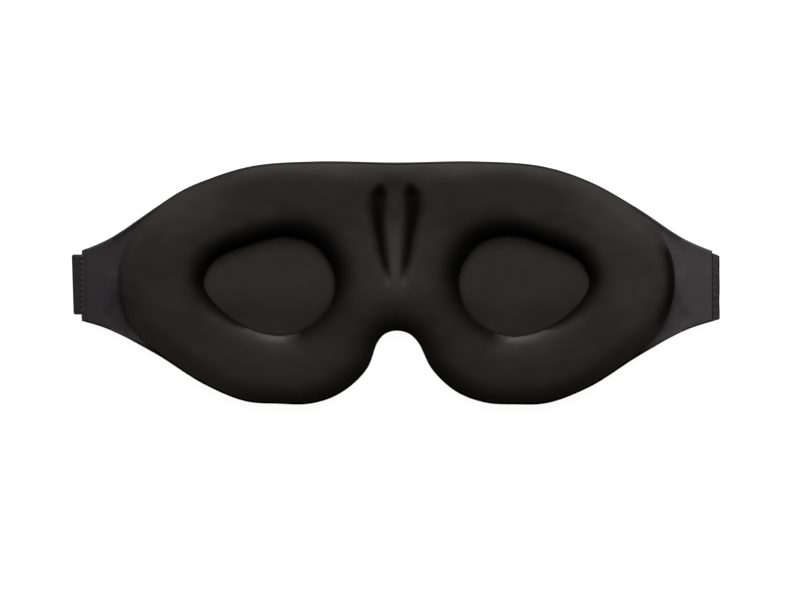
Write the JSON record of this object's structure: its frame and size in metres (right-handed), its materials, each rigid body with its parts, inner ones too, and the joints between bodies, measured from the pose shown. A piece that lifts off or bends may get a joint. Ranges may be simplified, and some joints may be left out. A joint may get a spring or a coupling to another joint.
{
  "type": "sleep eye mask",
  "caption": "Contoured padded sleep mask with moulded eye cups, a nose notch, cloth wings and a folded elastic strap with hook-and-loop closure.",
  "frame": {"origin": "under the middle of the mask, on the surface that the tucked straps lie on", "axes": "+X along the mask to its right end as seen from the face side, +Y to the brow edge, +Z out of the face side, up as the mask lies on its outer side"},
  "size_m": [0.2377, 0.0897, 0.02],
  "materials": {
    "face_jersey": "soft matt black knit laminated to the foam, with a faint dull sheen",
    "cup_jersey": "flat matt black knit on the floor of the eye cup",
    "moulded_foam": "open-cell black foam, matt",
    "blackout_film": "thin black light-blocking film",
    "outer_cloth": "smooth black woven-faced knit, slightly silky",
    "wing_cloth": "thin black knit, flat-bonded",
    "seam_thread": "turned edge with black thread",
    "hem_tape": "black sewn binding tape",
    "elastic": "black ribbed elastic webbing",
    "hook": "black moulded hook tape",
    "loop": "black brushed loop tape"
  },
  "bodies": {
    "right_half": {"right_inner_cover": "face_jersey", "right_eye_cup_panel": "cup_jersey", "right_foam_core": "moulded_foam", "right_blackout_liner": "blackout_film", "right_outer_cover": "outer_cloth", "right_brow_edge_seam": "seam_thread", "right_cheek_edge_seam": "seam_thread"},
    "right_wing": {"right_wing_face_layer": "wing_cloth", "right_wing_back_layer": "wing_cloth", "right_wing_end_hem": "hem_tape", "right_strap_anchor": "elastic"},
    "right_strap_root": {"right_strap_inner_run": "elastic"},
    "right_strap_tip": {"right_strap_outer_run": "elastic", "right_loop_patch": "loop"},
    "left_half": {"left_inner_cover": "face_jersey", "left_eye_cup_panel": "cup_jersey", "left_foam_core": "moulded_foam", "left_blackout_liner": "blackout_film", "left_outer_cover": "outer_cloth", "left_brow_edge_seam": "seam_thread", "left_cheek_edge_seam": "seam_thread"},
    "left_wing": {"left_wing_face_layer": "wing_cloth", "left_wing_back_layer": "wing_cloth", "left_wing_end_hem": "hem_tape", "left_strap_anchor": "elastic"},
    "left_strap_root": {"left_strap_inner_run": "elastic"},
    "left_strap_tip": {"left_strap_outer_run": "elastic", "left_hook_patch": "hook"}
  },
  "joints": [
    {"name": "bridge_fold", "type": "hinge", "parent": "right_half", "child": "left_half", "pos_m": [0, 0, 0.0203], "axis": [0, 1, 0], "range_deg": [0, 45], "stiffness_Nm_per_rad": 0.03},
    {"name": "right_wing_flex", "type": "hinge", "parent": "right_half", "child": "right_wing", "pos_m": [0.10415, 0, 0.0095], "axis": [0, -1, 0], "range_deg": [0, 60], "stiffness_Nm_per_rad": 0.006},
    {"name": "left_wing_flex", "type": "hinge", "parent": "left_half", "child": "left_wing", "pos_m": [-0.10415, 0, 0.0095], "axis": [0, 1, 0], "range_deg": [0, 60], "stiffness_Nm_per_rad": 0.006},
    {"name": "right_strap_swing", "type": "hinge", "parent": "right_wing", "child": "right_strap_root", "pos_m": [0.11765, 0, 0.00515], "axis": [0, -1, 0], "range_deg": [0, 175]},
    {"name": "left_strap_swing", "type": "hinge", "parent": "left_wing", "child": "left_strap_root", "pos_m": [-0.11765, 0, 0.00515], "axis": [0, 1, 0], "range_deg": [0, 175]},
    {"name": "right_strap_unfold", "type": "hinge", "parent": "right_strap_root", "child": "right_strap_tip", "pos_m": [0.008, 0, 0.00265], "axis": [0, 1, 0], "range_deg": [0, 160]},
    {"name": "left_strap_unfold", "type": "hinge", "parent": "left_strap_root", "child": "left_strap_tip", "pos_m": [-0.008, 0, 0.002], "axis": [0, -1, 0], "range_deg": [0, 160]}
  ]
}
